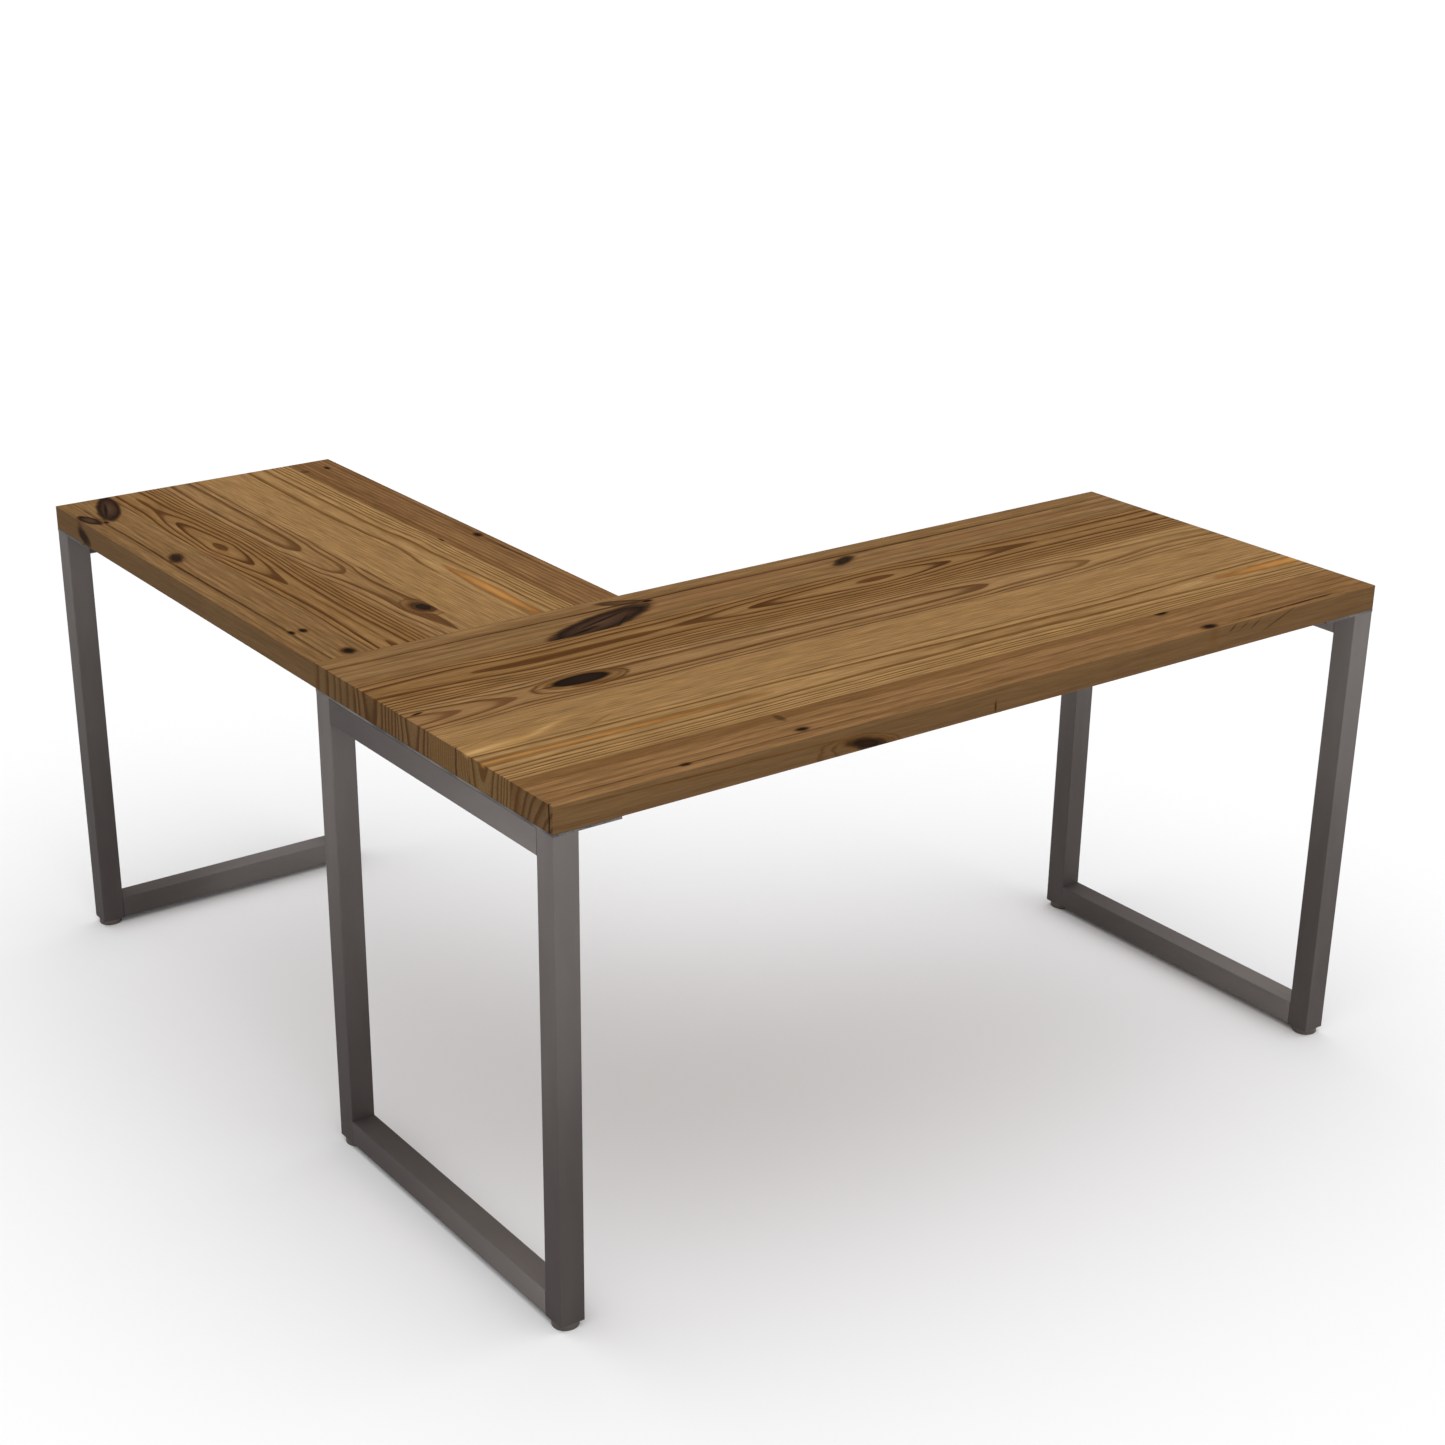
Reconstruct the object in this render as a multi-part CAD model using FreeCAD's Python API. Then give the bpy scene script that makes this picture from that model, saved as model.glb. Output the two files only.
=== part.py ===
import FreeCAD, Part
import os

# L-shaped desk: two edge-glued wooden tops carried by three welded frames of square steel tube.
# Millimetres. It is drawn from the outer corner of the L on the floor: +X along the main top's
# long side, +Y from the main top towards the far end of the return, +Z up. At the end every
# piece is moved so that the origin is on the floor, under the middle of the whole desk.

# wooden tops
main_length = 1473.2
main_depth = 609.6
return_width = 508.0
return_length = 914.4
desk_height = 762.0
top_thickness = 38.1
top_edge_radius = 0.8
# relative widths of the glued boards: main top from its back edge forwards, return from the left
main_board_shares = [4.5, 4.5, 3.5, 3.8, 4.0, 3.7]
return_board_shares = [3.6, 3.8, 2.7, 3.4, 3.4, 3.1]

# steel frames
tube_side = 38.1
tube_wall = 2.1
tube_corner_radius = 1.5
plate_thickness = 3.175
plate_reach = 101.6

# joining plates under the seam between the two tops
joining_plate_width = 76.2
joining_plate_reach = 101.6
joining_plate_corner = 6.0
joining_screw_spread = 38.1
# gap from the left mounting plate to the first joining plate
joining_plate_gap = 3.2
# the board of the return, counted from its left edge, that the second one is centred on
second_joining_board = 5

# screws and the threaded inserts that they turn into
screw_radius = 3.0
screw_length = 22.0
screw_head_radius = 6.5
screw_head_height = 3.4
screw_head_round = 1.6
screw_socket_width = 4.0
screw_socket_depth = 2.0
screw_hole_clearance = 0.4
slot_travel = 7.0
insert_radius = 5.0
insert_length = 18.0
insert_recess = 0.5
insert_tip_room = 3.0
thread_clearance = 0.05
insert_clearance = 0.05

# levelling feet
foot_height = 9.525
foot_gap = 0.2
foot_top_chamfer = 0.5
foot_base_radius = 1.2
stud_radius = 4.0
stud_reach = 34.0
stud_seat_depth = 6.0
stud_tip_chamfer = 0.8
stud_clearance = 0.05
plug_height = 25.0
plug_clearance = 0.1
plug_corner_radius = 1.0

# heights that follow from the stack: foot, leg, mounting plate, wood
wood_low = desk_height - top_thickness
plate_low = wood_low - plate_thickness
leg_length = plate_low - foot_height
# the round pads are as wide as the tube that they stand under
foot_radius = tube_side / 2

vector = FreeCAD.Vector
z_axis = vector(0, 0, 1)


def block(low, high):
    size = high - low
    return Part.makeBox(size.x, size.y, size.z, low)


def moved(shape, x=0.0, y=0.0, z=0.0, turn=0.0):
    """A copy turned about the vertical axis, in degrees, and then shifted."""
    copy = shape.copy()
    copy.rotate(vector(0, 0, 0), z_axis, turn)
    copy.translate(vector(x, y, z))
    return copy


def group(shapes):
    return Part.makeCompound(shapes)


# ---- wooden tops ----

def board_edges(shares, width):
    """Where the glue lines and outer edges of a top lie, measured across it from zero."""
    edges = [0.0]
    for share in shares:
        edges.append(edges[-1] + width * share / sum(shares))
    return edges


def middles(edges):
    return [(low + high) / 2 for low, high in zip(edges[:-1], edges[1:])]


def top_slab(low, high, insert_spots):
    """A top as one slab, its outer edges eased and its underside bored for the inserts."""
    slab = block(low, high)
    slab = slab.makeFillet(top_edge_radius, slab.Edges)
    depth = insert_recess + insert_length + insert_tip_room
    for spot in insert_spots:
        base = vector(spot.x, spot.y, low.z)
        slab = slab.cut(Part.makeCylinder(insert_radius + insert_clearance, depth, base))
    return slab


def main_boards(insert_spots):
    """Boards of the main top, numbered from its back edge forwards."""
    slab = top_slab(vector(0, 0, wood_low), vector(main_length, main_depth, desk_height), insert_spots)
    pieces = {}
    for number in range(len(main_board_shares)):
        low = vector(0, main_depth - main_glue_lines[number + 1], wood_low)
        high = vector(main_length, main_depth - main_glue_lines[number], desk_height)
        pieces[f"main_board_{number + 1}"] = slab.common(block(low, high))
    return pieces


def return_boards(insert_spots):
    """Boards of the return, numbered from its left edge."""
    far = main_depth + return_length
    slab = top_slab(vector(0, main_depth, wood_low), vector(return_width, far, desk_height), insert_spots)
    pieces = {}
    for number in range(len(return_board_shares)):
        low = vector(return_glue_lines[number], main_depth, wood_low)
        high = vector(return_glue_lines[number + 1], far, desk_height)
        pieces[f"return_board_{number + 1}"] = slab.common(block(low, high))
    return pieces


# ---- fasteners ----

def screw():
    """Button-head socket screw, head down, with the underside of its head on z = 0."""
    head = Part.makeCylinder(screw_head_radius, screw_head_height, vector(0, 0, -screw_head_height))
    rim = [edge for edge in head.Edges if edge.CenterOfMass.z < -screw_head_height + 0.01]
    head = head.makeFillet(screw_head_round, rim)
    corner = vector(screw_socket_width / 3 ** 0.5, 0, -screw_head_height)
    corners = [FreeCAD.Rotation(z_axis, 60 * step).multVec(corner) for step in range(7)]
    socket = Part.Face(Part.makePolygon(corners)).extrude(vector(0, 0, screw_socket_depth))
    shank = Part.makeCylinder(screw_radius, screw_length)
    return head.cut(socket).fuse(shank).removeSplitter()


def threaded_insert():
    """Brass sleeve that takes the screw, with its lower end just inside the wood."""
    sleeve = Part.makeCylinder(insert_radius, insert_length)
    bore = Part.makeCylinder(screw_radius + thread_clearance, insert_length)
    return sleeve.cut(bore)


def slot(travel):
    """Cutter for a screw hole through a plate that lets the wood move along x."""
    radius = screw_radius + screw_hole_clearance
    if travel == 0:
        return Part.makeCylinder(radius, plate_thickness)
    middle = Part.makeBox(travel, 2 * radius, plate_thickness, vector(-travel / 2, -radius, 0))
    left = Part.makeCylinder(radius, plate_thickness, vector(-travel / 2, 0, 0))
    right = Part.makeCylinder(radius, plate_thickness, vector(travel / 2, 0, 0))
    return middle.fuse([left, right]).removeSplitter()


def fasteners(spots):
    """The screws and inserts that stand at the given points of a plate."""
    screws = [moved(screw(), spot.x, spot.y, plate_low) for spot in spots]
    inserts = [moved(threaded_insert(), spot.x, spot.y, wood_low + insert_recess) for spot in spots]
    return group(screws), group(inserts)


# ---- frames ----

def rounded_bar(side, length, radius):
    bar = Part.makeBox(side, side, length)
    uprights = [edge for edge in bar.Edges if abs(edge.tangentAt(0).z) > 0.5]
    return bar.makeFillet(radius, uprights)


def square_tube(length):
    outside = rounded_bar(tube_side, length, tube_corner_radius)
    bore_side = tube_side - 2 * tube_wall
    inner_radius = max(tube_corner_radius - tube_wall, 0.2)
    bore = moved(rounded_bar(bore_side, length, inner_radius), tube_wall, tube_wall)
    return outside.cut(bore)


def rail(span, low):
    """Level tube between the two legs, its underside at the given height."""
    tube = square_tube(span - 2 * tube_side)
    tube.rotate(vector(0, 0, 0), vector(0, 1, 0), 90)
    return moved(tube, tube_side, 0, low + tube_side)


def mounting_plate(span, screw_places):
    """Flat plate on top of a frame, reaching inwards under the wood, slotted for the screws."""
    plate = block(vector(0, 0, plate_low), vector(span, plate_reach, wood_low))
    for place in screw_places:
        plate = plate.cut(moved(slot(slot_travel), place, screw_row, plate_low))
    return plate


def leg_plug():
    """Threaded plug in the foot of a leg, standing on z = 0 and centred on the axis."""
    side = tube_side - 2 * tube_wall - 2 * plug_clearance
    plug = moved(rounded_bar(side, plug_height, plug_corner_radius), -side / 2, -side / 2)
    return plug.cut(Part.makeCylinder(stud_radius + stud_clearance, plug_height))


def foot_pad():
    """Round pad that stands on the floor at z = 0, bored for the end of its stud."""
    height = foot_height - foot_gap
    pad = Part.makeCylinder(foot_radius, height)
    upper = [edge for edge in pad.Edges if edge.CenterOfMass.z > height - 0.01]
    pad = pad.makeChamfer(foot_top_chamfer, upper)
    lower = [edge for edge in pad.Edges if edge.Length > 6 * foot_radius and edge.CenterOfMass.z < 0.01]
    pad = pad.makeFillet(foot_base_radius, lower)
    seat = vector(0, 0, height - stud_seat_depth)
    return pad.cut(Part.makeCylinder(stud_radius + stud_clearance, stud_seat_depth, seat))


def foot_stud():
    """Threaded stud of a foot, from its seat in the pad up into the leg."""
    base = foot_height - foot_gap - stud_seat_depth
    length = stud_seat_depth + stud_reach
    stud = Part.makeCylinder(stud_radius, length, vector(0, 0, base))
    tip = [edge for edge in stud.Edges if edge.CenterOfMass.z > base + length - 0.01]
    return stud.makeChamfer(stud_tip_chamfer, tip)


def frame(name, leg_names, span, screw_places, place):
    """One frame with its plate, screws, plugs and feet. It is drawn with its outer face on y = 0 and
    its first leg at x = 0, and then placed."""
    spots = [vector(across, screw_row, 0) for across in screw_places]
    screws, inserts = fasteners(spots)
    pieces = {
        f"{name}_frame_bottom_rail": rail(span, foot_height),
        f"{name}_frame_top_rail": rail(span, plate_low - tube_side),
        f"{name}_frame_mounting_plate": mounting_plate(span, screw_places),
        f"{name}_frame_screws": screws,
        f"{name}_frame_inserts": inserts,
    }
    for leg_name, corner in zip(leg_names, (0, span - tube_side)):
        axis_x = corner + tube_side / 2
        axis_y = tube_side / 2
        pieces[f"{leg_name}_leg"] = moved(square_tube(leg_length), corner, 0, foot_height)
        pieces[f"{leg_name}_leg_plug"] = moved(leg_plug(), axis_x, axis_y, foot_height)
        pieces[f"{leg_name}_foot_pad"] = moved(foot_pad(), axis_x, axis_y)
        pieces[f"{leg_name}_foot_stud"] = moved(foot_stud(), axis_x, axis_y)
    placed = {node: moved(shape, *place) for node, shape in pieces.items()}
    return placed, placed_spots(spots, place)


def placed_spots(spots, place):
    x, y, z, turn = place
    return [FreeCAD.Rotation(z_axis, turn).multVec(spot) + vector(x, y, z) for spot in spots]


# ---- joint between the two tops ----

def joining_plate(middle_x):
    """Flat plate across the seam, with two pairs of screws into each top."""
    low = vector(middle_x - joining_plate_width / 2, main_depth - joining_plate_reach, plate_low)
    high = vector(middle_x + joining_plate_width / 2, main_depth + joining_plate_reach, wood_low)
    plate = block(low, high)
    uprights = [edge for edge in plate.Edges if abs(edge.tangentAt(0).z) > 0.5]
    plate = plate.makeFillet(joining_plate_corner, uprights)
    for spot in joining_spots(middle_x):
        plate = plate.cut(moved(slot(0), spot.x, spot.y, plate_low))
    return plate


def joining_spots(middle_x):
    rows = [joining_plate_reach * share for share in (-0.75, -0.25, 0.25, 0.75)]
    columns = (-joining_screw_spread / 2, joining_screw_spread / 2)
    return [vector(middle_x + column, main_depth + row, 0) for row in rows for column in columns]


# ---- the whole desk ----

main_glue_lines = board_edges(main_board_shares, main_depth)
return_glue_lines = board_edges(return_board_shares, return_width)
main_middles = middles(main_glue_lines)
return_middles = middles(return_glue_lines)
# the screws stand midway between a frame's tube and the inner edge of its plate
screw_row = (tube_side + plate_reach) / 2


def desk():
    left_place = (0, main_depth, 0, -90)
    right_place = (main_length, 0, 0, 90)
    return_place = (return_width, main_depth + return_length, 0, 180)
    from_front = [main_depth - middle for middle in main_middles]
    from_right = [return_width - middle for middle in return_middles]

    left, left_spots = frame("left", ("left_back", "left_front"), main_depth, main_middles, left_place)
    right, right_spots = frame("right", ("right_front", "right_back"), main_depth, from_front, right_place)
    end, end_spots = frame("return", ("return_right", "return_left"), return_width, from_right, return_place)

    beside_plate = plate_reach + joining_plate_gap + joining_plate_width / 2
    joining_middles = [beside_plate, return_middles[second_joining_board - 1]]
    seam_spots = [spot for middle in joining_middles for spot in joining_spots(middle)]
    seam_screws, seam_inserts = fasteners(seam_spots)

    pieces = {}
    pieces.update(main_boards(left_spots + right_spots + seam_spots))
    pieces.update(return_boards(end_spots + seam_spots))
    for number, middle in enumerate(joining_middles, start=1):
        pieces[f"joining_plate_{number}"] = joining_plate(middle)
    pieces["joining_plate_screws"] = seam_screws
    pieces["joining_plate_inserts"] = seam_inserts
    for part in (left, right, end):
        pieces.update(part)
    return pieces


os.makedirs("parts", exist_ok=True)
shift_x = -main_length / 2
shift_y = -(main_depth + return_length) / 2
for node, shape in desk().items():
    moved(shape, shift_x, shift_y).exportStep(f"parts/{node}.step")
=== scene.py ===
import math

import bmesh
import bpy
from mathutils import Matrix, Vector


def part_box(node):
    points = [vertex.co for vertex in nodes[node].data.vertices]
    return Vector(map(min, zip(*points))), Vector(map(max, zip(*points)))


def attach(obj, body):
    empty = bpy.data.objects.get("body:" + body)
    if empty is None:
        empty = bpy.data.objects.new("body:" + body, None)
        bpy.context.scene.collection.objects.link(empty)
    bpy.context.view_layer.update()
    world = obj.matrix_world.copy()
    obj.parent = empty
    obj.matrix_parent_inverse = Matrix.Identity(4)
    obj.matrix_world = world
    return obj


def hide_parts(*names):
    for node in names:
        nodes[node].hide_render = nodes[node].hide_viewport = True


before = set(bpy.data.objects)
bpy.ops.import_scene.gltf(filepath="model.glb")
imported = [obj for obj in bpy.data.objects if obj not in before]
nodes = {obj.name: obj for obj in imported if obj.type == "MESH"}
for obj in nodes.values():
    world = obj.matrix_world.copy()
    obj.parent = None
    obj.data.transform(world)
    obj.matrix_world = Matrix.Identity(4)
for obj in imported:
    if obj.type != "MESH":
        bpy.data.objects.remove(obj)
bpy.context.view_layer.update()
print("frame loaded,", len(nodes), "nodes")


# small tools

def linearColor(hexText):
    # sRGB hex to the linear values that Blender works in
    channels = [int(hexText[i:i + 2], 16) / 255 for i in (1, 3, 5)]
    return [c / 12.92 if c <= 0.04045 else ((c + 0.055) / 1.055) ** 2.4 for c in channels] + [1.0]


def addNode(tree, kind, links=None, **settings):
    # one shader node: settings are its own properties, links give each input a value or a node to read
    made = tree.nodes.new("ShaderNode" + kind)
    for name, value in settings.items():
        setattr(made, name, value)
    for socket, value in (links or {}).items():
        if isinstance(value, bpy.types.Node):
            value = value.outputs[0]
        if isinstance(value, bpy.types.NodeSocket):
            tree.links.new(value, made.inputs[socket])
        else:
            made.inputs[socket].default_value = value
    return made


def newMaterial(name):
    # an empty node tree with only its output
    material = bpy.data.materials.new(name)
    material.use_nodes = True
    material.node_tree.nodes.clear()
    return material, material.node_tree


def dress(nodeName, material):
    # a CAD node keeps its mesh and takes a better material
    for slot in nodes[nodeName].material_slots:
        slot.material = material


# camera, at the corner of the room that looks along both tops

camera = {
    "place": (-2.21398, -3.10043, 1.96019),
    "pitch": 66.147,       # degrees up from looking straight down
    "yaw": -34.711,
    "lens": 62.480,        # mm on a 36 mm sensor
    "shift": (0.0504, 0.0708),
}


def placeCamera():
    data = bpy.data.cameras.new("view_camera")
    data.sensor_width = 36
    data.lens = camera["lens"]
    data.shift_x, data.shift_y = camera["shift"]
    data.clip_end = 200
    holder = bpy.data.objects.new("view_camera", data)
    holder.location = camera["place"]
    holder.rotation_euler = (math.radians(camera["pitch"]), 0, math.radians(camera["yaw"]))
    bpy.context.scene.collection.objects.link(holder)
    bpy.context.scene.camera = holder


# studio: a pale floor under a soft light tent, brightest overhead and a little brighter at its front

studio = {
    "floorColor": "#EDEDEE",
    "floorSize": 120,      # m
    "crown": 1.92,         # light of the tent overhead, falling to nothing at its foot
    "crownFocus": 1.5,     # how fast it gathers towards the top
    "front": 1.0,          # light of the wall in front of the long outer edge
    "frontFocus": 2.0,     # how fast that one gathers towards the wall's middle
    "backdrop": 1.0,       # brightness of the tent where it is seen directly
}


def lightStudio():
    scene = bpy.context.scene
    scene.view_settings.view_transform = "Standard"
    scene.view_settings.look = "None"
    tent = bpy.data.worlds.new("light_tent")
    tent.use_nodes = True
    tree = tent.node_tree
    tree.nodes.clear()
    coords = addNode(tree, "TexCoord")
    height = addNode(tree, "SeparateXYZ", {0: coords.outputs["Generated"]})
    above = addNode(tree, "Math", {0: height.outputs["Z"], 1: 0.0}, operation="MAXIMUM")
    gathered = addNode(tree, "Math", {0: above, 1: studio["crownFocus"]}, operation="POWER")
    before = addNode(tree, "Math", {0: height.outputs["Y"], 1: -1.0}, operation="MULTIPLY")
    facing = addNode(tree, "Math", {0: before, 1: 0.0}, operation="MAXIMUM")
    wall = addNode(tree, "Math", {0: facing, 1: studio["frontFocus"]}, operation="POWER")
    wallLight = addNode(tree, "Math", {0: wall, 1: studio["front"]}, operation="MULTIPLY")
    strength = addNode(tree, "Math", {0: gathered, 1: studio["crown"], 2: wallLight},
                       operation="MULTIPLY_ADD")
    # seen straight on, the tent is an even pale wall that meets the floor without a line
    sight = addNode(tree, "LightPath")
    shown = addNode(tree, "MapRange", {0: sight.outputs["Is Camera Ray"], 3: strength,
                                       4: studio["backdrop"]})
    light = addNode(tree, "Background", {"Color": (1, 1, 1, 1), "Strength": shown})
    addNode(tree, "OutputWorld", {0: light})
    scene.world = tent


def layFloor():
    half = studio["floorSize"] / 2
    mesh = bpy.data.meshes.new("studio_floor")
    corners = [(-half, -half, 0), (half, -half, 0), (half, half, 0), (-half, half, 0)]
    mesh.from_pydata(corners, [], [(0, 1, 2, 3)])
    floor = bpy.data.objects.new("studio_floor", mesh)
    bpy.context.scene.collection.objects.link(floor)
    material, tree = newMaterial("paintedStudioFloor")
    shader = addNode(tree, "BsdfDiffuse", {"Color": linearColor(studio["floorColor"])})
    addNode(tree, "OutputMaterial", {0: shader})
    mesh.materials.append(material)


placeCamera()
lightStudio()
layFloor()
print("camera, tent and floor ready")


# timber: each board is solid wood, so its top, edges and end grain all cut through the same growth
# rings. Lengths are in mm over a whole top: u along the boards, v across them, w down from the face.

oiledPine = {
    "grainRise": 0.00012,      # m that the hard late wood stands proud
    "fibreRise": 0.4,          # share of that for the fibres
    "reliefShare": 0.6,        # strength of the bump that shows both
    "fibreWidth": 3.2,         # mm, coarser than real fibres, which are too fine to show
    "fibreLength": 70.0,       # mm
    "fibreContrast": 0.36,     # share by which fibres are lighter or darker
    "tickLength": 22.0,        # mm, resin ducts seen as short dark ticks
    "tickWidth": 1.3,          # mm
    "tickFrom": 0.70,          # noise above which a tick begins, and above which it is whole
    "tickWhole": 0.80,
    "bandSize": (620.0, 24.0, 40.0),   # mm along, across and down, of the broad bands of second tone
    "bandFrom": 0.38,          # noise above which a band begins, and above which it is whole
    "bandWhole": 0.68,
    "wanderLength": 260.0,     # mm, how far the grain runs before it drifts
    "wanderWidth": 55.0,       # mm
    "wander": 9.0,             # mm
    "coneSlope": 0.06,         # share of the depth below the face that counts towards the ring radius
    "ringUneven": 0.7,         # rings by which good and poor years shift the pattern
    "seasonScale": 0.37,       # how fast good and poor years follow each other, per ring
    "faintest": 0.35,          # a board's faintest ring line, where it doesn't give its own
    "ragged": 0.35,            # how far a mark's rim frays, where it doesn't give its own
    "rightThrough": 1000,      # mm, a half depth that takes a mark right through its board
    "levelFrom": 0.3,          # how level a surface is where edge tone and painted edge shade fade, and where they end
    "levelWhole": 0.9,
    "endFrom": 0.5,            # how far it faces along the board where end grain begins
    "endWhole": 0.9,
    "edgeTone": "#785D3F",     # cut edges drink more oil and turn duller
    "edgeShare": 0.5,          # how much of that tone covers a cut edge
    "edgeShade": 0.74,         # painted shade: how much darker a cut edge is for facing sideways
    "endShade": 0.73,          # end grain darker still, partly for the oil it soaks up and partly as painted shade
    "endLines": 0.6,           # and its late wood shows as dark stripes
    "glueLine": 0.35,          # mm each side of a joint
    "glueTone": "#3E2812",
    "glueShade": 0.45,
    "rimSize": (26.0, 7.0, 12.0),      # mm along, across and down, of the frayed rims of knots
    "roughness": 0.62,
    "earlyRougher": 0.04,      # early wood is this much rougher, and late wood this much smoother
    "lateSmoother": 0.08,
    "ior": 1.47,               # wood under oil
    "specular": 0.02,          # the oil has sunk in, so hardly any film is left to shine
}

# a float curve runs from 0 to 1 and one unit of it stands for this many mm
curveReach = 100.0

# most of a noise lies between these two values, given to a Map Range's inputs 1 and 2
noiseSpan = {1: 0.3, 2: 0.7}

# the ring profile: pale early wood, slowly darker, a hard dark line of late wood, then a sharp stop
ringProfile = [(0.0, 0.5), (0.07, 0.02), (0.38, 0.05), (0.6, 0.3), (0.76, 0.9), (0.93, 1.0), (1.0, 0.7)]

# kinds of knot and streak: stops from the middle outwards, each with a colour and how much it covers
markLooks = {
    "blackKnot": [(0.0, "#22150C", 1.0), (0.7, "#1E120A", 1.0), (0.9, "#140B05", 1.0),
                  (1.0, "#2E1D0E", 0.9), (1.12, "#5A3C1C", 0.6), (1.5, "#7A5630", 0.0)],
    "barkKnot": [(0.0, "#4C3626", 1.0), (0.5, "#3C281B", 1.0), (0.82, "#1E130B", 1.0),
                 (0.98, "#2E1C0F", 0.85), (1.2, "#6A4824", 0.0)],
    "barkStreak": [(0.0, "#120A06", 0.95), (0.55, "#1C110A", 0.8), (1.0, "#3A2616", 0.0)],
    "pinKnot": [(0.0, "#140B06", 1.0), (0.55, "#1E1209", 1.0), (0.9, "#3C2412", 0.8),
                (1.2, "#5E3E1C", 0.4), (1.7, "#7A5630", 0.0)],
    "ovalKnot": [(0.0, "#2A1C12", 1.0), (0.5, "#23170D", 1.0), (0.85, "#3A2614", 0.9),
                 (1.1, "#5E4020", 0.5), (1.6, "#7A5630", 0.0)],
    "darkVein": [(0.0, "#2C1A0A", 0.95), (0.45, "#3A2410", 0.8), (1.0, "#6A4822", 0.0)],
    "softVein": [(0.0, "#4E300E", 0.8), (0.5, "#5A3A14", 0.6), (1.0, "#6A4822", 0.0)],
    "haloLine": [(0.0, "#6A4418", 0.0), (0.76, "#6A4418", 0.05), (0.9, "#3E240C", 0.85),
                 (1.0, "#6A4822", 0.0)],
    "flame": [(0.0, "#B8864A", 0.85), (0.5, "#A27038", 0.8), (0.85, "#7C4E22", 0.7),
              (1.0, "#80582C", 0.0)],
    "paleCurl": [(0.0, "#C8A470", 0.9), (0.5, "#B08850", 0.5), (1.0, "#A07A48", 0.0)],
    "brownCurl": [(0.0, "#5E4220", 0.8), (0.5, "#6A4C28", 0.5), (1.0, "#86653C", 0.0)],
    "blush": [(0.0, "#7C4E34", 0.4), (0.6, "#7C5434", 0.25), (1.0, "#8A5A38", 0.0)],
}


def setCurve(node, points):
    # shapes a float curve through a few chosen points, both axes from 0 to 1
    curve = node.mapping.curves[0]
    for x, y in points[1:-1]:
        curve.points.new(x, y)
    curve.points[0].location = points[0]
    curve.points[-1].location = points[-1]
    node.mapping.update()


def setRamp(node, stops):
    # stops are (place, colour with alpha)
    ramp = node.color_ramp
    while len(ramp.elements) < len(stops):
        ramp.elements.new(1.0)
    for element, (place, color) in zip(ramp.elements, stops):
        element.position = place
        element.color = color


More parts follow.
